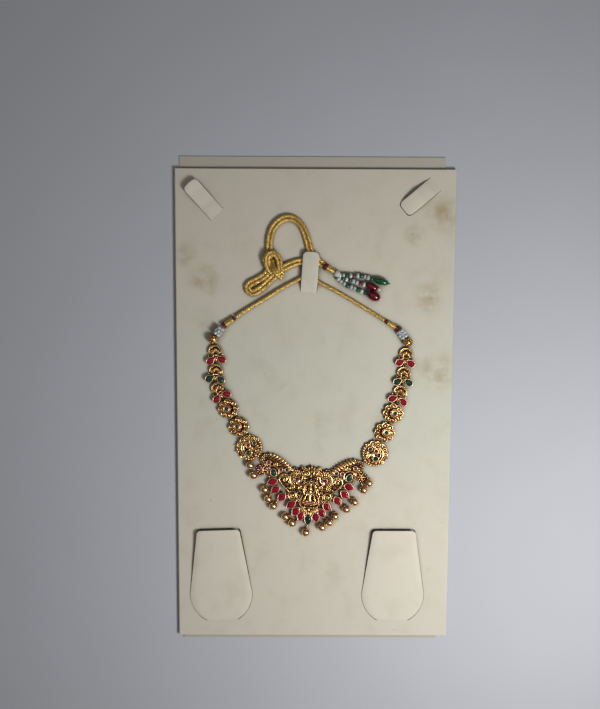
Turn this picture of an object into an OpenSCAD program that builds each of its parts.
// A short temple necklace lying on its display card.
// The card lies flat with its front face up, X to the right, Y towards its top edge, Z up.
// The origin is the middle of the card's underside.

/* [Card] */
// Width of the front panel
card_w = 160; // [156:1:180]
// Height of the front panel
card_h = 274; // [270:1:300]
// Thickness of the board
board_t = 0.6; // [0.4:0.1:1]
// Space inside the folded side edges
fold_gap = 0.4; // [0.2:0.1:2]
// Width of the strips folded under the side edges
fold_w = 9; // [6:1:20]
// Width of the rear leaf
leaf_w = 151; // [140:1:155]
// Length of the rear leaf seen above the front panel
lip_top = 7; // [4:0.5:15]
// Length of the rear leaf seen below the front panel
lip_bottom = 2.4; // [1:0.2:6]
// Width of the cut tabs
tab_w = 9; // [8:0.5:11]
// Length of the cut tabs
tab_len = 23; // [21:0.5:26]
// Corner radius of the tabs
tab_corner = 2.4; // [1:0.2:3.6]
// Width of the cut lines
cut_w = 0.4; // [0.3:0.1:0.8]
// Length of the half-oval flaps
flap_len = 58; // [50:1:60]
// Radius of the round end of the flaps
flap_r = 18.2; // [15:0.2:20]
// Half width of the flaps at their free end
flap_end = 12.6; // [10:0.2:14]

/* [Links] */
// Thickness of the cast plates
plate_t = 1.2; // [1:0.1:1.6]
// Diameter of the raised scroll wire
wire_d = 0.9; // [0.7:0.1:1.2]
// Diameter of the grains along the edges
grain_d = 1.3; // [1:0.1:1.5]
// Diameter of the pendant's head arch
arch_d = 10.8; // [10:0.2:12]
// Diameter of the pendant's peacock rounds
peacock_d = 10; // [9:0.2:10.6]
// Diameter of the peacock roundels
roundel_d = 14.8; // [13.8:0.1:15]
// Diameter of the flower links
flower_d = 11; // [10:0.1:11.4]
// Number of petals of a flower link
petal_count = 8; // [6:1:10]
// Length of a bud link
bud_len = 9.9; // [9.4:0.1:10.4]
// Diameter of the dome of a bud link
dome_d = 7.4; // [6.4:0.1:7.6]
// Diameter of the ball drops
drop_d = 4.8; // [4.4:0.1:4.9]
// Diameter of the gold balls at the ends of the chain
ball_d = 5; // [4.4:0.1:5.4]

/* [Joints] */
// Space between two joined pieces
joint_gap = 1.2; // [1.2:0.1:1.6]
// Radius of the eyes, to the middle of their wire
eye_r = 0.5; // [0.48:0.01:0.54]
// Wire diameter of the eyes
eye_wire = 0.34; // [0.28:0.02:0.36]
// Wire diameter of the rings that pass through the eyes
ring_wire = 0.3; // [0.24:0.02:0.32]
// Height of the eyes above the backs of the pieces
joint_z = 1; // [0.9:0.05:1.1]

/* [Stones] */
// Length of the kite stones
kite_len = 4; // [3.4:0.1:4.2]
// Width of the kite stones
kite_wid = 3.5; // [2.8:0.1:3.6]
// Length of the drop stones of the bud links
leaf_len = 4.2; // [3.6:0.1:4.4]
// Width of the drop stones of the bud links
leaf_wid = 3; // [2.4:0.1:3.1]
// Length of the marquise stone
marquise_len = 5.6; // [5:0.1:6]
// Length of the oval stones of the side plaques
oval_len = 4.2; // [3.6:0.1:4.6]
// Diameter of the round stones of the flower links
round_d = 2.4; // [2:0.1:2.8]
// Wall of the stone collars
collar_w = 0.35; // [0.3:0.05:0.45]
// Height of the stone collars
collar_h = 2.2; // [1.8:0.1:2.6]
// Space round each stone
stone_gap = 0.12; // [0.1:0.01:0.16]

/* [Cords] */
// Diameter of the gold thread cords
cord_d = 2; // [1.6:0.1:2]
// Length of the wrapped sleeves
sleeve_len = 8.5; // [7:0.1:9]
// Diameter of the wrapped sleeves
sleeve_d = 3.4; // [3:0.1:3.8]
// Length of the white bead clusters
bead_len = 5.8; // [5:0.1:6.2]
// Diameter of the white bead clusters
bead_d = 5.4; // [4.6:0.1:5.8]
// Diameter of the tassel's bead strands
strand_d = 2.5; // [2:0.1:2.6]

/* [Hidden] */

$fn = 48;
LEFT = -1;
RIGHT = 1;
gold = "goldenrod";
pink_gold = "peru";
ruby = "crimson";
green = "darkgreen";
board = "wheat";

// Heights
leaf_gap = 0.2;
card_top = board_t + leaf_gap + 2 * board_t + fold_gap;
lie_gap = 0.2;
card_y = (lip_bottom - lip_top) / 2;
// How far wires stay inside a plate's edge
edge_in = 0.12;

// Pendant, in the card's own plane, turned a little to the right at its top
pendant_pos = [-2.4, -52.1];
pendant_turn = -4;
pendant_joint_y = 15.2;

function dir(h) = [sin(h), cos(h)];
function turned(p, a) = [p[0] * cos(a) - p[1] * sin(a), p[0] * sin(a) + p[1] * cos(a)];
function signed_power(v, p) = sign(v) * pow(abs(v), p);
function drop_name(i) = str("ball_drop_", i < 9 ? "0" : "", i + 1);

module on_card() {
    translate([0, card_y, card_top + lie_gap]) children();
}

module on_side(side) {
    if (side == LEFT) mirror([1, 0, 0]) children();
    else children();
}

module on_pendant(side = RIGHT) {
    on_card() on_side(side)
        translate([side * pendant_pos[0], pendant_pos[1], 0])
            rotate(side * pendant_turn)
                children();
}

// Plain shapes shared by the pieces

module bar(p, q, w) {
    d = q - p;
    translate(p) rotate(atan2(d[1], d[0])) translate([0, -w / 2]) square([norm(d), w]);
}

module stroke(p, q, w) {
    bar(p, q, w);
    translate(p) circle(w / 2);
    translate(q) circle(w / 2);
}

module sector(r, from, to) {
    steps = 6;
    polygon(concat([[0, 0]], [for (i = [0:steps])
        let (a = from + (to - from) * i / steps) [r * cos(a), r * sin(a)]]));
}

// Wire ends and bends are a little thicker than the wire
knob = 1.16;

module wire_arc(r, from, to, z = plate_t, d = wire_d) {
    translate([0, 0, z]) {
        rotate(from) rotate_extrude(angle = to - from) translate([r, 0]) circle(d / 2, $fn = 24);
        for (a = [from, to]) rotate(a) translate([r, 0, 0]) sphere(knob * d / 2, $fn = 24);
    }
}

module wire_ring(r, z = plate_t, d = wire_d) {
    translate([0, 0, z]) rotate_extrude() translate([r, 0]) circle(d / 2, $fn = 24);
}

module boss(d, z = plate_t) {
    translate([0, 0, z]) sphere(d / 2, $fn = 32);
}

module limb(p, q, d, z = plate_t) {
    v = q - p;
    translate([p[0], p[1], z]) {
        sphere(knob * d / 2, $fn = 24);
        rotate([0, 90, atan2(v[1], v[0])]) cylinder(h = norm(v), d = d, $fn = 24);
    }
    translate([q[0], q[1], z]) sphere(knob * d / 2, $fn = 24);
}

// Stone outlines: length along X, width along Y, how pointed they are, and how much they taper

stone_sides = 10;
function stone_outline(size, grow = 0) = [for (i = [0:stone_sides - 1])
    let (a = 360 * i / stone_sides,
        x = signed_power(cos(a), size[SHARP]),
        y = signed_power(sin(a), (1 + size[SHARP]) / 2))
    [x * (size[LONG] / 2 + grow), y * (1 - size[TAPER] * x) * (size[WIDE] / 2 + grow)]];

LONG = 0;
WIDE = 1;
SHARP = 2;
TAPER = 3;
kite = [kite_len, kite_wid, 1.5, 0.1];
leaf = [leaf_len, leaf_wid, 1.1, -0.32];
marquise = [marquise_len, 0.58 * marquise_len, 1.15, 0];
oval = [oval_len, 0.74 * oval_len, 1, 0.12];
round_stone = [round_d, round_d, 1, 0];
small_round = [1.9, 1.9, 1, 0];
plume = [3.2, 2.6, 1, 0.2];
roundel_oval = [3, 2.4, 1, 0.1];

seat_z = 0.8;
function girdle_z() = collar_h - 0.5;

module stone(size) {
    top = collar_h + 0.5;
    low = seat_z + stone_gap;
    levels = [[low, 0.8], [girdle_z() - 0.2, 1], [girdle_z(), 1], [top, 0.55]];
    pts = stone_outline(size);
    n = len(pts);
    m = len(levels);
    polyhedron(
        points = [for (l = levels) for (p = pts) [p[0] * l[1], p[1] * l[1], l[0]]],
        faces = concat(
            [[for (i = [0:n - 1]) i]],
            [for (k = [0:m - 2]) for (i = [0:n - 1])
                [k * n + i, (k + 1) * n + i, (k + 1) * n + (i + 1) % n, k * n + (i + 1) % n]],
            [[for (i = [n - 1:-1:0]) (m - 1) * n + i]]));
}

module collar(size) {
    linear_extrude(collar_h) polygon(stone_outline(size, collar_w + stone_gap));
}

module pocket(size) {
    translate([0, 0, seat_z]) linear_extrude(collar_h) polygon(stone_outline(size, stone_gap));
}

// Joints: each piece has a flat eye where the next piece's upright ring passes through it

eye_reach = eye_r - 0.3 * eye_wire;
ring_bite = 0.25;
ring_r = (joint_gap - eye_reach + ring_bite) / 2;

module eye() {
    translate([0, eye_reach, joint_z]) rotate_extrude() translate([eye_r, 0])
        circle(eye_wire / 2, $fn = 24);
}

module hook_ring() {
    translate([0, ring_r - (joint_gap - eye_reach), joint_z]) rotate([0, 90, 0])
        rotate_extrude() translate([ring_r, 0]) circle(ring_wire / 2, $fn = 24);
}

// Chain: the pieces of one side outwards from the plaque.
// A round piece turns at its joint, a bud link is straight. Headings are measured from straight
// up, outwards, in degrees.
SIZE = 0;
IS_ROUND = 1;
HEAD_LEFT = 2;
HEAD_RIGHT = 3;
chain = [
    [roundel_d, true, 61, 54],
    [flower_d, true, 27, 24],
    [flower_d, true, 30, 23],
    [bud_len, false, 27, 18],
    [bud_len, false, -6, 5],
    [bud_len, false, 7, 6],
    [ball_d, true, 10, 6]];
ROUNDEL = 0;
FLOWER_2 = 1;
FLOWER_1 = 2;
BUD_3 = 3;
BUD_2 = 4;
BUD_1 = 5;
END_BALL = 6;

function heading(side, i) = chain[i][side == LEFT ? HEAD_LEFT : HEAD_RIGHT];
function exit_heading(side, i) = chain[i][IS_ROUND] ? heading(side, i + 1) : heading(side, i);
function link_start(side, i) = (i == 0 ? plaque_eye(side) : eye_after(side, i - 1))
    + (joint_gap - eye_reach) * dir(heading(side, i));
function link_centre(side, i) = link_start(side, i) + chain[i][SIZE] / 2 * dir(heading(side, i));
function link_end(side, i) = link_centre(side, i)
    + chain[i][SIZE] / 2 * dir(exit_heading(side, i));
function eye_after(side, i) = link_end(side, i) + eye_reach * dir(exit_heading(side, i));

module on_link(side, i) {
    on_card() on_side(side) translate(link_start(side, i)) rotate(-heading(side, i)) children();
}

module joint_tabs(side, i) {
    // From the middle of a round link to its two joints
    r = chain[i][SIZE] / 2;
    translate([0, r, 0]) for (a = [180, heading(side, i) - exit_heading(side, i)]) rotate(a)
        linear_extrude(0.9 * plate_t) stroke([0, 0], [0, r - 0.6], 1.2);
}

module exit_eye(side, i) {
    r = chain[i][SIZE] / 2;
    translate([0, r, 0]) rotate(heading(side, i) - exit_heading(side, i)) translate([0, r, 0]) eye();
}

// Card

card_round = (2 * board_t + fold_gap) / 2;
flap_hinge = 2.2;
flap_tilt = 1.6;
tab_clear = 0.4;
centre_tab_lift = lie_gap + cord_d + tab_clear;

// Places of the cut tabs and flaps on the panel: x and y of the hinge, and the turn.
// Those near a corner are held at their distances from its two edges.
X = 0;
Y = 1;
TURN = 2;
centre_tab_at = [-3.7, 67.5, -4];
corner_tab_left_at = [24 - card_w / 2, card_h / 2 - 25.5, 42];
corner_tab_right_at = [card_w / 2 - 12, card_h / 2 - 8, 130];
flap_left_at = [26 - card_w / 2, 7 - card_h / 2, 2];
flap_right_at = [card_w / 2 - 32.6, 7 - card_h / 2, 0];

module at_place(place) {
    translate([place[X], place[Y], 0]) rotate(place[TURN]) children();
}

module tab_plan(grow = 0) {
    w = tab_w / 2 + grow;
    l = tab_len + grow;
    translate([-w, 0]) square([2 * w, l - tab_corner]);
    translate([-w + tab_corner, 0]) square([2 * (w - tab_corner), l]);
    for (x = [-1, 1]) translate([x * (w - tab_corner), l - tab_corner]) circle(tab_corner);
}

module flap_plan(grow = 0) {
    r = flap_r + grow;
    w = flap_end + grow;
    l = flap_len + grow;
    corner = 2.4;
    start = 1.15 * flap_r;
    difference() {
        union() {
            translate([0, flap_r]) circle(r);
            polygon([[-0.985 * r, start], [0.985 * r, start], [w, l - corner], [-w, l - corner]]);
            translate([corner - w, l - 2 * corner]) square([2 * (w - corner), 2 * corner]);
            for (x = [-1, 1]) translate([x * (w - corner), l - corner]) circle(corner);
        }
        translate([-r, -r]) square([2 * r, r + flap_hinge]);
    }
}

module cut_tab(place, lift) {
    // The tongue's underside: distance from the hinge and height above the panel's top face
    under = [for (p = lift) [p[0] * tab_len, p[1] - (p[0] == 0 ? board_t : 0)]];
    above = [for (i = [len(under) - 1:-1:0]) under[i] + [0, board_t]];
    color(board) translate([0, card_y, card_top]) at_place(place)
        intersection() {
            rotate([90, 0, 90]) linear_extrude(2 * tab_w, center = true)
                polygon(concat(under, above));
            translate([0, 0, -tab_len]) linear_extrude(2 * tab_len) tab_plan();
        }
}

module centre_tab() {
    cut_tab(centre_tab_at, [[0, 0], [0.05, 0.2 * centre_tab_lift], [0.18, 0.85 * centre_tab_lift],
        [0.26, centre_tab_lift], [1, centre_tab_lift]]);
}

module corner_tab_left() {
    cut_tab(corner_tab_left_at, [[0, 0], [0.5, 1.1], [1, 1.9]]);
}

module corner_tab_right() {
    cut_tab(corner_tab_right_at, [[0, 0], [0.35, 1.3], [0.6, 1.2], [1, 0.3]]);
}

module earring_flap(place) {
    color(board) translate([0, card_y, card_top - board_t]) at_place(place)
        translate([0, flap_hinge + 0.05, 0]) rotate([flap_tilt, 0, 0])
            translate([0, -flap_hinge, 0]) linear_extrude(board_t) flap_plan();
}

module card_front() {
    edge = card_w / 2 - card_round;
    top = card_top - board_t;
    color(board) translate([0, card_y, 0]) difference() {
        rotate([90, 0, 0]) linear_extrude(card_h, center = true) {
            translate([-edge, top]) square([2 * edge, board_t]);
            for (x = [-1, 1]) {
                translate([x * edge - (x > 0 ? fold_w : 0), board_t + leaf_gap])
                    square([fold_w, board_t]);
                translate([x * edge, board_t + leaf_gap + card_round]) difference() {
                    circle(card_round);
                    circle(card_round - board_t);
                    translate([x > 0 ? -card_w : 0, -card_w / 2]) square(card_w);
                }
            }
        }
        translate([0, 0, top - fold_gap / 2]) linear_extrude(card_top) {
            for (place = [centre_tab_at, corner_tab_left_at, corner_tab_right_at])
                at_place(place) tab_plan(cut_w);
            for (place = [flap_left_at, flap_right_at]) at_place(place) flap_plan(cut_w);
        }
    }
}

module card_back() {
    shift = -1.7;
    color(board) translate([shift - leaf_w / 2, -card_h / 2 + card_y - lip_bottom, 0])
        cube([leaf_w, card_h + lip_top + lip_bottom, board_t]);
}

// Pendant: seated goddess under a halo, peacock rounds, paisley wings and a row of stones.
// Places are for its right half, and the left half mirrors them.

peacock_pos = [8, 10.2];
shoulder_pos = [9.5, pendant_joint_y];
shoulder_r = 2;
paisley_pos = [15.6, 9.6];
paisley_r = 3.5;
paisley_tip = [12.8, 2.8];
paisley_end_r = 1.05;
scroll_pos = [10.1, 0.3];
scroll_r = 2.8;
arch_pos = [0, 18.3 - arch_d / 2];
field_r = 7.4;
lotus_r = 6;
lotus_pos = [0, -4.6];
marquise_pos = [0, -13.2];
// Kite stones: x, y and the heading of the outer tip below the horizontal
pendant_kites = [[10.6, -5.1, 38], [7.7, -9, 56], [4.4, -11.7, 72]];
// Pierced holes of the plate: x, y and radius
pendant_holes = [[12.1, 4.6, 0.8], [7.4, 3.2, 0.8], [4.3, 8, 0.7], [2.2, 15.6, 0.7],
    [6.9, -6.6, 0.6], [13.3, -2.6, 0.5]];
HOLE_R = 2;
DOWN = 2;

module at_kite(k) {
    translate([k[X], k[Y], 0]) rotate(-k[DOWN]) children();
}

function kite_edge() = kite_len / 2 + collar_w + stone_gap;
function marquise_edge() = marquise_len / 2 + collar_w + stone_gap;

module kite_eye(reach = kite_edge()) {
    translate([reach, 0, 0]) rotate(-90) eye();
}

module both() {
    children();
    mirror([1, 0, 0]) children();
}

module goddess() {
    head_pos = [0, 5];
    head_d = 2.7;
    hip = [0, -2];
    crown_h = 2.4;
    arm_d = 1;
    leg_d = 2.2;
    relief = plate_t + 0.3;
    translate([head_pos[0], head_pos[1], relief]) {
        sphere(head_d / 2, $fn = 32);
        rotate([-90, 0, 0]) cylinder(h = crown_h, d1 = 0.9 * head_d, d2 = 0.5, $fn = 24);
    }
    // torso, waist to shoulders
    translate([0, hip[1], relief]) rotate([-90, 0, 0])
        cylinder(h = head_pos[1] - hip[1] - 0.9 * head_d / 2, d1 = 2.8, d2 = 2.2, $fn = 32);
    both() {
        limb([1.5, 2.9], [3.5, 1.3], arm_d, relief);
        limb([3.5, 1.3], [3.9, 3.7], arm_d, relief);
        limb([1.6, 1.6], [3.1, -0.9], arm_d, relief);
        limb([3.1, -0.9], [3.9, -2.2], arm_d, relief);
    }
    limb([-3.9, -3.2], [2.4, -4.3], leg_d, relief);
    limb([3.9, -3.2], [-2.4, -4.3], leg_d, relief);
    // halo
    translate(head_pos) wire_arc(head_d, -35, 215, relief, 0.8);
    both() {
        limb([2.2, 3.4], [4.9, 0.2], 0.8, relief);
        limb([4.9, 0.2], [5.6, -4.8], 0.8, relief);
    }
}

module lotus() {
    petal_d = 2.3;
    reach = 5;
    for (a = [-158:19:-22]) translate(lotus_pos + reach * [cos(a), sin(a)]) boss(petal_d);
    translate(lotus_pos) wire_arc(reach - petal_d / 2, -165, -15);
}

module peacock_round() {
    r = peacock_d / 2 - wire_d / 2 - edge_in;
    wire_ring(r);
    translate([0.9, -0.3, 0]) wire_arc(0.62 * r, 60, 330);
    translate([-1, -2.4, 0]) boss(2.2);
    translate([2.2, 2.4, 0]) boss(1.6);
}

module pendant_plate() {
    translate([0, 0.5]) circle(field_r);
    translate(lotus_pos) circle(lotus_r);
    translate(arch_pos) circle(arch_d / 2);
    for (m = [0, 1]) mirror([m, 0]) {
        translate(peacock_pos) circle(peacock_d / 2);
        translate(shoulder_pos) circle(shoulder_r);
        translate([5.2, 14]) circle(3.2);
        translate(paisley_pos) circle(paisley_r);
        polygon([paisley_tip, paisley_pos + [-paisley_r, 0.3], paisley_pos + [paisley_r, -0.6]]);
        translate(scroll_pos) circle(scroll_r);
        translate([10.6, 4.4]) circle(2.6);
        translate([8.2, -2.8]) circle(3);
        bar(scroll_pos, paisley_tip, 1.8);
        translate(paisley_tip) circle(paisley_end_r);
        stroke(scroll_pos, [pendant_kites[0][X], pendant_kites[0][Y]], 1.8);
        for (i = [0:1]) stroke([pendant_kites[i][X], pendant_kites[i][Y]],
            [pendant_kites[i + 1][X], pendant_kites[i + 1][Y]], 1.8);
        stroke([pendant_kites[2][X], pendant_kites[2][Y]], marquise_pos, 1.6);
        stroke([pendant_kites[2][X], pendant_kites[2][Y]], [3.2, -8.6], 1.6);
    }
}

module pendant() {
    color(gold) on_pendant() difference() {
        union() {
            difference() {
                linear_extrude(plate_t) pendant_plate();
                for (m = [0, 1], h = pendant_holes) mirror([m, 0, 0])
                    translate([h[X], h[Y], -plate_t]) cylinder(h = 3 * plate_t, r = h[HOLE_R]);
            }
            goddess();
            lotus();
            translate(arch_pos) {
                wire_arc(0.86 * arch_d / 2, 25, 155);
                for (a = [30:20:150]) rotate(a) translate([arch_d / 2 - 0.4, 0, 0]) boss(grain_d);
                boss(1.9);
                for (a = [40:50:140]) rotate(a) translate([1.9, 0, 0]) boss(1.4);
            }
            both() {
                translate(peacock_pos) peacock_round();
                translate(scroll_pos) wire_ring(scroll_r - wire_d / 2 - edge_in);
                translate(scroll_pos) boss(1.8);
                translate(paisley_pos) wire_arc(paisley_r - wire_d / 2 - edge_in, -50, 190);
                translate(paisley_pos + [-0.4, 0.2]) wire_arc(0.42 * paisley_r, 20, 300);
                limb(paisley_pos + [1.6, -2.6], paisley_tip + [0.4, 0.6], wire_d);
                translate(shoulder_pos) boss(1.7);
                translate([shoulder_pos[0] + shoulder_r, pendant_joint_y, 0]) rotate(-90) eye();
                for (k = pendant_kites) at_kite(k) {
                    collar(kite);
                    kite_eye();
                }
                translate(peacock_pos) rotate(150) collar(plume);
            }
            translate(marquise_pos) rotate(-90) {
                collar(marquise);
                kite_eye(marquise_edge());
            }
        }
        both() {
            for (k = pendant_kites) at_kite(k) pocket(kite);
            translate(peacock_pos) rotate(150) pocket(plume);
        }
        translate(marquise_pos) rotate(-90) pocket(marquise);
    }
}

module pendant_rubies() {
    color(ruby) on_pendant() for (m = [0, 1]) mirror([m, 0, 0]) {
        for (k = pendant_kites) at_kite(k) stone(kite);
        translate(peacock_pos) rotate(150) stone(plume);
    }
}

module pendant_marquise() {
    color(green) on_pendant() translate(marquise_pos) rotate(-90) stone(marquise);
}

// Side plaques, outwards from the ring that hangs in the pendant's eye, x outwards

plaque_x = shoulder_pos[0] + shoulder_r + joint_gap;
curl_pos = [14, 5];
curl_r = 3.6;
curl_heading = 44;
tip_pos = [1.7, 0.2];
bead_pos = [5.3, 0.1];
oval_pos = [9.5, -1.9];
eye_stone_pos = [12.6, 4];
cluster_pos = [16.2, -1];
cluster_r = 3;
plaque_kites = [[9.8, -7.4, 20], [7.7, -12.1, 38], [3.7, -16.2, 52]];
band_r = 29.6;
band_w = 2.4;
band_from = 108;
band_to = 137;
// Middle of the band's outer edge, which stays where the band's radius changes
band_middle = [5.196, 5.664];
band_pos = band_middle - band_r * [cos((band_from + band_to) / 2), sin((band_from + band_to) / 2)];
cluster_eyes = [15, -80];

function plaque_eye(side) = [side * pendant_pos[0], pendant_pos[1]]
    + turned([plaque_x, pendant_joint_y] + curl_pos + (curl_r + eye_reach) * dir(curl_heading),
        side * pendant_turn);

module on_plaque(side) {
    on_pendant(side) translate([plaque_x, pendant_joint_y, 0]) children();
}

module plaque_plate() {
    translate(tip_pos) circle(1.6);
    translate(bead_pos) circle(1.9);
    translate(oval_pos) circle(2.7);
    translate(curl_pos) circle(curl_r);
    translate(cluster_pos) circle(cluster_r);
    translate([12.9, 0.2]) circle(2.4);
    translate([9.4, 2.1]) circle(2.8);
    translate([6.1, 1.9]) circle(1.7);
    translate(band_pos) difference() {
        intersection() {
            circle(band_r);
            sector(1.3 * band_r, band_from, band_to);
        }
        circle(band_r - band_w);
    }
    stroke(tip_pos, bead_pos, 2);
    stroke(bead_pos, oval_pos, 2);
    stroke(oval_pos, [plaque_kites[0][X], plaque_kites[0][Y]], 2);
    for (i = [0:1]) stroke([plaque_kites[i][X], plaque_kites[i][Y]],
        [plaque_kites[i + 1][X], plaque_kites[i + 1][Y]], 1.8);
}

module side_plaque(side) {
    grain_step = 2.7;
    color(gold) on_plaque(side) difference() {
        union() {
            linear_extrude(plate_t) plaque_plate();
            translate(band_pos) {
                for (a = [band_from + 1.2:grain_step:band_to - 1])
                    rotate(a) translate([band_r - 0.6 * grain_d, 0, 0]) boss(grain_d);
                wire_arc(band_r - band_w + 0.3, band_from + 9, band_to - 2, plate_t, 0.7);
            }
            translate(curl_pos) wire_arc(curl_r - wire_d / 2 - edge_in, -80, 120);
            translate([10, 2.4, 0]) wire_arc(1.5, 20, 250, plate_t, 0.7);
            translate([15.6, 5.4, 0]) boss(1.5);
            translate(cluster_pos) {
                for (a = [0:60:300]) rotate(a) translate([1.9, 0, 0]) boss(1.6);
                boss(2);
            }
            translate(eye_stone_pos) collar(small_round);
            translate(bead_pos) collar(small_round);
            translate(tip_pos) collar(small_round);
            translate(oval_pos) rotate(70) collar(oval);
            for (k = plaque_kites) at_kite(k) {
                collar(kite);
                kite_eye();
            }
            for (a = cluster_eyes)
                translate(cluster_pos) rotate(a) translate([cluster_r, 0, 0]) rotate(-90) eye();
            translate(curl_pos) rotate(-curl_heading) translate([0, curl_r, 0]) eye();
            rotate(-90) hook_ring();
        }
        for (p = [eye_stone_pos, bead_pos, tip_pos]) translate(p) pocket(small_round);
        translate(oval_pos) rotate(70) pocket(oval);
        for (k = plaque_kites) at_kite(k) pocket(kite);
    }
}

// Peacock roundel: grained rim, crescent, peacock and three stones

roundel_ruby = [-0.6, 1.9];
roundel_small = [-4, 0.4];
roundel_large = [2.4, -1.4];

module roundel_frame(side) {
    translate([0, roundel_d / 2, 0]) rotate(heading(side, ROUNDEL) - 45) children();
}

module peacock_roundel(side) {
    color(gold) on_link(side, ROUNDEL) {
        hook_ring();
        exit_eye(side, ROUNDEL);
        difference() {
            union() {
                joint_tabs(side, ROUNDEL);
                roundel_frame(side) roundel_relief();
            }
            roundel_frame(side) {
                translate(roundel_ruby) pocket(small_round);
                translate(roundel_small) pocket(small_round);
                translate(roundel_large) rotate(40) pocket(roundel_oval);
            }
        }
    }
}

module roundel_relief() {
    r = roundel_d / 2;
    grains = 24;
    linear_extrude(plate_t) {
        circle(r - grain_d / 2);
        for (i = [0:grains - 1]) rotate(360 * i / grains)
            translate([r - grain_d / 2, 0]) circle(grain_d / 2);
    }
    wire_ring(r - grain_d, plate_t, 0.8 * grain_d);
    translate([0.6, 0.6, 0]) wire_arc(0.55 * r, 20, 200);
    translate([1, -2.6, 0]) boss(2.3);
    translate([2.6, -3.6, 0]) boss(1.6);
    translate([-1.2, -3.9, 0]) boss(1.8);
    translate(roundel_ruby) collar(small_round);
    translate(roundel_small) collar(small_round);
    translate(roundel_large) rotate(40) collar(roundel_oval);
}

// Flower link: domed petals round a raised cup with a round stone, set a little outwards

cup_shift = 1;
cup_d = 4.4;

module flower_cup(side) {
    translate([0, flower_d / 2, 0]) rotate(heading(side, FLOWER_1)) translate([cup_shift, 0, 0])
        children();
}

module flower_link(side, i) {
    petal_d = 3.7;
    half_step = 180 / petal_count;
    reach = (flower_d - petal_d) / 2 / cos(half_step);
    color(gold) on_link(side, i) {
        hook_ring();
        exit_eye(side, i);
        difference() {
            union() {
                joint_tabs(side, i);
                translate([0, flower_d / 2, 0]) {
                    cylinder(h = plate_t, r = reach + 0.4);
                    for (k = [1:petal_count]) rotate((2 * k - 1) * half_step)
                        translate([0, reach, 0]) {
                            cylinder(h = plate_t, d = petal_d);
                            intersection() {
                                translate([0, 0, plate_t - 0.2]) sphere(0.4 * petal_d);
                                translate([0, 0, plate_t / 2]) cylinder(h = petal_d, d = petal_d);
                            }
                        }
                }
                flower_cup(side) {
                    cylinder(h = collar_h, d = cup_d);
                    collar(round_stone);
                    wire_ring(cup_d / 2, collar_h - 0.4);
                }
            }
            flower_cup(side) pocket(round_stone);
        }
    }
}

// Bud link: open dome with three petals, two drop stones spread below it and a pointed foot

bud_leaf_pos = [3.1, 1.5];
bud_leaf_turn = -32;

module bud_plate() {
    dome_y = bud_len - dome_d / 2;
    translate([0, dome_y]) {
        difference() {
            circle(dome_d / 2);
            circle(dome_d / 2 - wire_d);
            translate([-dome_d, -dome_d - 0.8]) square([2 * dome_d, dome_d]);
        }
        circle(1);
        translate([0, 1.5]) circle(1.1);
        for (x = [-1, 1]) {
            translate([1.5 * x, 0.7]) circle(1);
            translate([2.5 * x, -0.9]) circle(1.1);
        }
    }
    stroke([0, dome_y + dome_d / 2 - 1.4], [0, dome_y + dome_d / 2 - 0.5], 1);
    stroke([-2.5, dome_y - 0.9], [2.5, dome_y - 0.9], 1);
    stroke([0, 1], [0, dome_y], 2);
    polygon([[-1.2, 2.2], [-0.5, 0], [0.5, 0], [1.2, 2.2]]);
    for (x = [-1, 1]) stroke([0, dome_y - 1.8], [x * bud_leaf_pos[X], bud_leaf_pos[Y]], 1.6);
}

module at_bud_leaf(m) {
    mirror([m, 0, 0]) translate(bud_leaf_pos) rotate(bud_leaf_turn) children();
}

module bud_link(side, i) {
    dome_y = bud_len - dome_d / 2;
    color(gold) on_link(side, i) {
        hook_ring();
        translate([0, bud_len, 0]) eye();
        difference() {
            union() {
                linear_extrude(plate_t) bud_plate();
                translate([0, dome_y, 0]) {
                    wire_arc(dome_d / 2 - wire_d / 2 - edge_in, -5, 185);
                    translate([0, 1.4, 0]) boss(1.7);
                    both() {
                        translate([1.5, 0.6, 0]) boss(1.5);
                        translate([2.5, -0.9, 0]) wire_ring(0.7, plate_t, 0.7);
                    }
                }
                limb([0, 0.9], [0, 2.6], 1.5, 0.9);
                for (m = [0, 1]) at_bud_leaf(m) collar(leaf);
            }
            for (m = [0, 1]) at_bud_leaf(m) pocket(leaf);
        }
    }
}

// Stones of one side: each field is one list of places, with the plaque's, the roundel's,
// the flowers' and the bud links' own seats

module bud_leaves(side, i) {
    on_link(side, i) for (m = [0, 1]) at_bud_leaf(m) stone(leaf);
}

module rubies(side) {
    color(ruby) {
        on_plaque(side) {
            for (k = plaque_kites) at_kite(k) stone(kite);
            translate(eye_stone_pos) stone(small_round);
            translate(bead_pos) stone(small_round);
        }
        on_link(side, ROUNDEL) roundel_frame(side) translate(roundel_ruby) stone(small_round);
        bud_leaves(side, BUD_1);
        bud_leaves(side, BUD_3);
    }
}

module greens(side) {
    color(green) {
        on_plaque(side) {
            translate(oval_pos) rotate(70) stone(oval);
            translate(tip_pos) stone(small_round);
        }
        on_link(side, ROUNDEL) roundel_frame(side) {
            translate(roundel_small) stone(small_round);
            translate(roundel_large) rotate(40) stone(roundel_oval);
        }
        for (i = [FLOWER_2, FLOWER_1]) on_link(side, i) flower_cup(side) stone(round_stone);
        bud_leaves(side, BUD_2);
    }
}

// Balls

neck_d = 0.9;

module ball_on_ring(d, reach) {
    // Ring at the origin's eye, ball centre at the given reach along Y
    flat_r = sqrt(pow(d / 2, 2) - pow(d / 2 - joint_z, 2));
    translate([0, ring_r, joint_z]) rotate([0, 90, 0]) rotate_extrude() translate([ring_r, 0])
        circle(ring_wire / 2, $fn = 24);
    translate([0, 2 * ring_r, joint_z]) rotate([-90, 0, 0])
        cylinder(h = reach - flat_r - 2 * ring_r + 0.4, d = neck_d);
    translate([0, reach, d / 2]) sphere(d / 2);
}

end_ball_reach = ball_d / 2 + 0.8;

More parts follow.
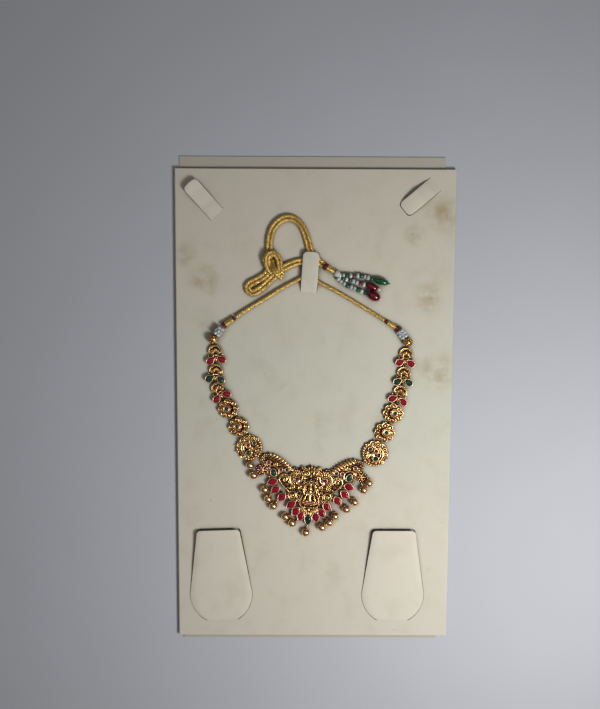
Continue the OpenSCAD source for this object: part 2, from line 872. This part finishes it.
module gold_ball(side) {
    color(gold) on_card() on_side(side) translate(eye_after(side, BUD_1))
        rotate(-heading(side, END_BALL)) ball_on_ring(ball_d, end_ball_reach);
}

// Ball drops: each hangs in one eye, and lies at its own angle from the outward horizontal
ON_PLAQUE = 0;
ON_PENDANT = 1;
ON_CLUSTER = 2;
ON_MARQUISE = 3;
HOLDER = 0;
SIDE = 1;
SEAT = 2;
LIES = 3;
drop_table = [
    [ON_CLUSTER, LEFT, 0, 22], [ON_CLUSTER, LEFT, 1, 0],
    [ON_PLAQUE, LEFT, 0, -70], [ON_PLAQUE, LEFT, 1, -68], [ON_PLAQUE, LEFT, 2, -51],
    [ON_PENDANT, LEFT, 1, -15], [ON_PENDANT, LEFT, 2, -22],
    [ON_MARQUISE, RIGHT, 0, -100],
    [ON_PENDANT, RIGHT, 2, -42], [ON_PENDANT, RIGHT, 1, -39], [ON_PENDANT, RIGHT, 0, -49],
    [ON_PLAQUE, RIGHT, 2, -30], [ON_PLAQUE, RIGHT, 1, -30],
    [ON_CLUSTER, RIGHT, 1, -68], [ON_CLUSTER, RIGHT, 0, -66]];
drop_reach = drop_d / 2 + 1.85;

function polar(r, a) = [r * cos(a), r * sin(a)];
function seat_after(k) = [k[X], k[Y]] + polar(kite_edge() + eye_reach, -k[DOWN]);
function drop_seat(d) = d[HOLDER] == ON_MARQUISE ? marquise_pos - [0, marquise_edge() + eye_reach]
    : d[HOLDER] == ON_PENDANT ? seat_after(pendant_kites[d[SEAT]])
    : [plaque_x, pendant_joint_y] + (d[HOLDER] == ON_PLAQUE ? seat_after(plaque_kites[d[SEAT]])
        : cluster_pos + polar(cluster_r + eye_reach, cluster_eyes[d[SEAT]]));

module ball_drop(i) {
    d = drop_table[i];
    tip_d = 0.9;
    color(pink_gold) on_pendant(d[SIDE]) translate(drop_seat(d)) rotate(d[LIES] - 90) {
        ball_on_ring(drop_d, drop_reach);
        translate([0, drop_reach + 0.49 * drop_d, drop_d / 2]) sphere(tip_d / 2, $fn = 24);
    }
}

// White bead clusters and wrapped sleeves, inwards from the gold balls

bead_heading = -36;
sleeve_heading = [-55, -58];
string_gap = 0.3;
turn_gap = 0.8;
wrap_len = 1.8;

function ball_centre(side) = eye_after(side, BUD_1) + end_ball_reach * dir(heading(side, END_BALL));
function bead_start(side) = ball_centre(side) + (ball_d / 2 + string_gap) * dir(bead_heading);
function sleeve_turn(side) = sleeve_heading[side == LEFT ? 0 : 1];
function sleeve_start(side) = bead_start(side) + bead_len * dir(bead_heading)
    + turn_gap * dir(sleeve_turn(side));

module barrel(length, ends, belly) {
    // A turned form along Y with round shoulders
    translate([0, 0, belly / 2]) rotate([-90, 0, 0]) rotate_extrude() polygon([
        [0, 0], [ends / 2, 0], [0.44 * belly, 0.18 * length], [belly / 2, 0.4 * length],
        [belly / 2, 0.6 * length], [0.44 * belly, 0.82 * length], [ends / 2, length], [0, length]]);
}

module white_beads(side) {
    color("white") on_card() on_side(side) translate(bead_start(side)) rotate(-bead_heading)
        barrel(bead_len, 0.6 * bead_d, bead_d);
}

module wrapped_sleeve(length, d, far_d) {
    // A thread wrap at each end of a wound sleeve that widens to its far end
    translate([0, 0, d / 2]) rotate([-90, 0, 0]) rotate_extrude() polygon([
        [0, 0], [0.46 * d, 0], [0.5 * d, 0.3], [0.5 * d, wrap_len - 0.3], [0.42 * d, wrap_len],
        [0.45 * d, wrap_len + 0.6], [0.45 * d, length - wrap_len - 0.6],
        [0.4 * far_d, length - wrap_len], [0.46 * far_d, length - wrap_len + 0.3],
        [0.46 * far_d, length - 0.3], [0.4 * far_d, length], [0, length]]);
}

module cord_sleeve(side) {
    color("darkgoldenrod") on_card() on_side(side) translate(sleeve_start(side))
        rotate(-sleeve_turn(side)) wrapped_sleeve(sleeve_len, sleeve_d, 0.8 * sleeve_d);
}

// Cords. Route points are chosen by hand, on the panel's plane, x and y in millimetres, and the
// height of the cord's middle above its lying height. Both cords run side by side from the tab
// through the knot, the folded bight and the big loop to the wrapped end.

left_lead_route = [
    [-45.3, 53.3, 0.4], [-43.4, 54.6, 0.2], [-38, 58.2, 0], [-29, 63.6, 0], [-19, 69.8, 0],
    [-10.5, 74.4, 0], [-6.4, 76.6, 0], [-4.5, 79, 0], [-5, 82, 0]];
right_lead_route = [
    [39.8, 51.6, 0.4], [37.8, 53, 0.2], [31, 57.2, 0], [21, 63.2, 0], [11, 68.8, 0],
    [4.4, 72.2, 0], [1, 74.4, 0], [-1, 77.6, 0], [-1.2, 81.4, 0], [-3.4, 85.1, 0]];
pair_route = [
    [-8.4, 84.9, 0], [-13.4, 83.6, 0], [-18.6, 81, 0], [-23.4, 77.3, 0], [-28.6, 72.9, 0],
    [-32.8, 69.4, 0], [-35.6, 68.2, 0], [-37.8, 69, 0], [-38.2, 71.2, 0], [-36.6, 73.2, 0],
    [-33, 76.1, 0], [-28.8, 80.2, 0], [-26.4, 84.5, 0], [-26.2, 91, 0], [-26, 97.6, 0],
    [-24.2, 103.6, 0], [-20.3, 108, 0], [-15.2, 109.7, 0], [-10.2, 107.8, 0], [-6.6, 103, 0],
    [-4.6, 97.6, 0], [-3.3, 92.6, 0], [-1.9, 89.4, 0], [1.2, 86, 0], [5, 82.8, 0]];
knot_route = [
    [-18, 75.8, 1], [-19, 77.8, 2], [-20.2, 80.2, 2.3], [-20.6, 83.4, 2.3], [-22.2, 86.6, 2.3],
    [-24.8, 87.6, 2.3], [-27.2, 85.8, 2.3], [-27.6, 82.4, 2.3], [-26, 79.4, 2.4],
    [-23.6, 78.4, 3], [-21.4, 79, 4.2], [-20, 81.4, 4.5], [-20.6, 84.6, 4.5]];
pair_gap = 1.09 * cord_d;

function beside(p, side) = [for (i = [0:len(p) - 1])
    let (t = tangent(p, i)) p[i] + side * pair_gap / 2 * [t[1], -t[0], 0]];
cord_left_route = concat(left_lead_route, beside(pair_route, LEFT));
cord_right_route = concat(right_lead_route, beside(pair_route, RIGHT));

function curve_point(p, k, t) = let (
    n = len(p), a = p[max(k - 1, 0)], b = p[k], c = p[k + 1], d = p[min(k + 2, n - 1)])
    0.5 * ((2 * b) + (c - a) * t + (2 * a - 5 * b + 4 * c - d) * t * t
        + (3 * b - a - 3 * c + d) * t * t * t);
function smooth_route(p, steps) = concat(
    [for (k = [0:len(p) - 2]) for (s = [0:steps - 1]) curve_point(p, k, s / steps)],
    [p[len(p) - 1]]);
function tangent(p, i) = let (v = p[min(i + 1, len(p) - 1)] - p[max(i - 1, 0)]) v / norm(v);
function cord_ring(p, i, d, sides) = let (
    t = tangent(p, i), u = cross([0, 0, 1], t), side = u / norm(u), up = cross(t, side))
    [for (k = [0:sides - 1]) p[i] + d / 2 * (side * cos(360 * k / sides) + up * sin(360 * k / sides))];

module tube(p, d, sides = 8) {
    m = len(p);
    polyhedron(
        points = [for (i = [0:m - 1]) each cord_ring(p, i, d, sides)],
        faces = concat(
            [[for (k = [0:sides - 1]) k]],
            [for (i = [0:m - 2]) for (k = [0:sides - 1])
                [i * sides + k, (i + 1) * sides + k, (i + 1) * sides + (k + 1) % sides,
                    i * sides + (k + 1) % sides]],
            [[for (k = [sides - 1:-1:0]) (m - 1) * sides + k]]));
}

module cord(route) {
    color("gold") on_card() translate([0, 0, cord_d / 2]) tube(route, cord_d);
}

module tail_knot() {
    color("gold") on_card() translate([0, 0, cord_d / 2]) tube(smooth_route(knot_route, 2), cord_d);
}

// Tail: wrapped end, tassel of three bead strands and their drops

tail_pos = [5.3, 82.5];
tail_heading = 121;
tail_len = 6.4;
tail_d = 4.2;

function tail_end_pos() = tail_pos + tail_len * dir(tail_heading);

module tail_end() {
    color("darkgoldenrod") on_card() translate(tail_pos) rotate(-tail_heading)
        wrapped_sleeve(tail_len, tail_d, tail_d);
}

strand_routes = [
    [[11.5, 79, 0.3], [16, 78.2, 0.2], [22, 77.9, 0], [28, 77, 0], [33.4, 75.6, 0]],
    [[11.5, 78.6, 0.3], [15, 76.6, 0.2], [19.5, 75.2, 0], [24, 74.5, 0], [27.6, 73.8, 0]],
    [[11.3, 78.2, 0.3], [13.6, 75.6, 0.2], [18, 71.9, 0], [23, 68.7, 0], [28.4, 66.8, 0]]];

module tassel_strands() {
    color("whitesmoke") on_card() {
        translate(tail_end_pos() + 0.3 * dir(tail_heading)) rotate(-tail_heading)
            barrel(3.4, 0.7 * tail_d, 0.9 * tail_d);
        translate([0, 0, strand_d / 2]) for (route = strand_routes) tube(route, strand_d, 10);
    }
}

// Drops on the strands: x and y of the middle, heading, length and width
DROP_HEAD = 2;
DROP_LEN = 3;
DROP_WID = 4;
green_drop = [38.6, 74, 112, 9.2, 4.4];
red_oval_drop = [31.6, 72, 115, 7.2, 4.6];
red_round_drop = [32.9, 65.4, 108, 7.8, 6];

module tassel_drop(d) {
    r = d[DROP_WID] / 2;
    l = d[DROP_LEN];
    on_card() translate([d[X], d[Y], r]) rotate(-d[DROP_HEAD]) translate([0, -l / 2, 0])
        rotate([-90, 0, 0]) rotate_extrude() polygon(concat([[0, 0]],
            [for (i = [0:12]) let (a = 180 * i / 12) [0.12 * r + 0.88 * r * sin(a), l * (1 - cos(a)) / 2]],
            [[0, l]]));
}

module tassel_drop_green() {
    color(green) tassel_drop(green_drop);
}

module tassel_drop_red_oval() {
    color("darkred") tassel_drop(red_oval_drop);
}

module tassel_drop_red_round() {
    color("darkred") tassel_drop(red_round_drop);
}

card_back();
card_front();
centre_tab();
corner_tab_left();
corner_tab_right();
earring_flap(flap_left_at);  // earring_flap_left
earring_flap(flap_right_at);  // earring_flap_right
pendant();
pendant_rubies();
pendant_marquise();
side_plaque(LEFT);  // side_plaque_left
side_plaque(RIGHT);  // side_plaque_right
peacock_roundel(LEFT);  // peacock_roundel_left
peacock_roundel(RIGHT);  // peacock_roundel_right
flower_link(LEFT, FLOWER_1);  // flower_link_1_left
flower_link(LEFT, FLOWER_2);  // flower_link_2_left
flower_link(RIGHT, FLOWER_1);  // flower_link_1_right
flower_link(RIGHT, FLOWER_2);  // flower_link_2_right
bud_link(LEFT, BUD_1);  // bud_link_1_left
bud_link(LEFT, BUD_2);  // bud_link_2_left
bud_link(LEFT, BUD_3);  // bud_link_3_left
bud_link(RIGHT, BUD_1);  // bud_link_1_right
bud_link(RIGHT, BUD_2);  // bud_link_2_right
bud_link(RIGHT, BUD_3);  // bud_link_3_right
rubies(LEFT);  // rubies_left
rubies(RIGHT);  // rubies_right
greens(LEFT);  // greens_left
greens(RIGHT);  // greens_right
gold_ball(LEFT);  // gold_ball_left
gold_ball(RIGHT);  // gold_ball_right
white_beads(LEFT);  // white_beads_left
white_beads(RIGHT);  // white_beads_right
cord_sleeve(LEFT);  // cord_sleeve_left
cord_sleeve(RIGHT);  // cord_sleeve_right
cord(cord_left_route);  // cord_left
cord(cord_right_route);  // cord_right
tail_knot();
tail_end();
tassel_strands();
tassel_drop_green();
tassel_drop_red_oval();
tassel_drop_red_round();
for (i = [0:14]) ball_drop(i);
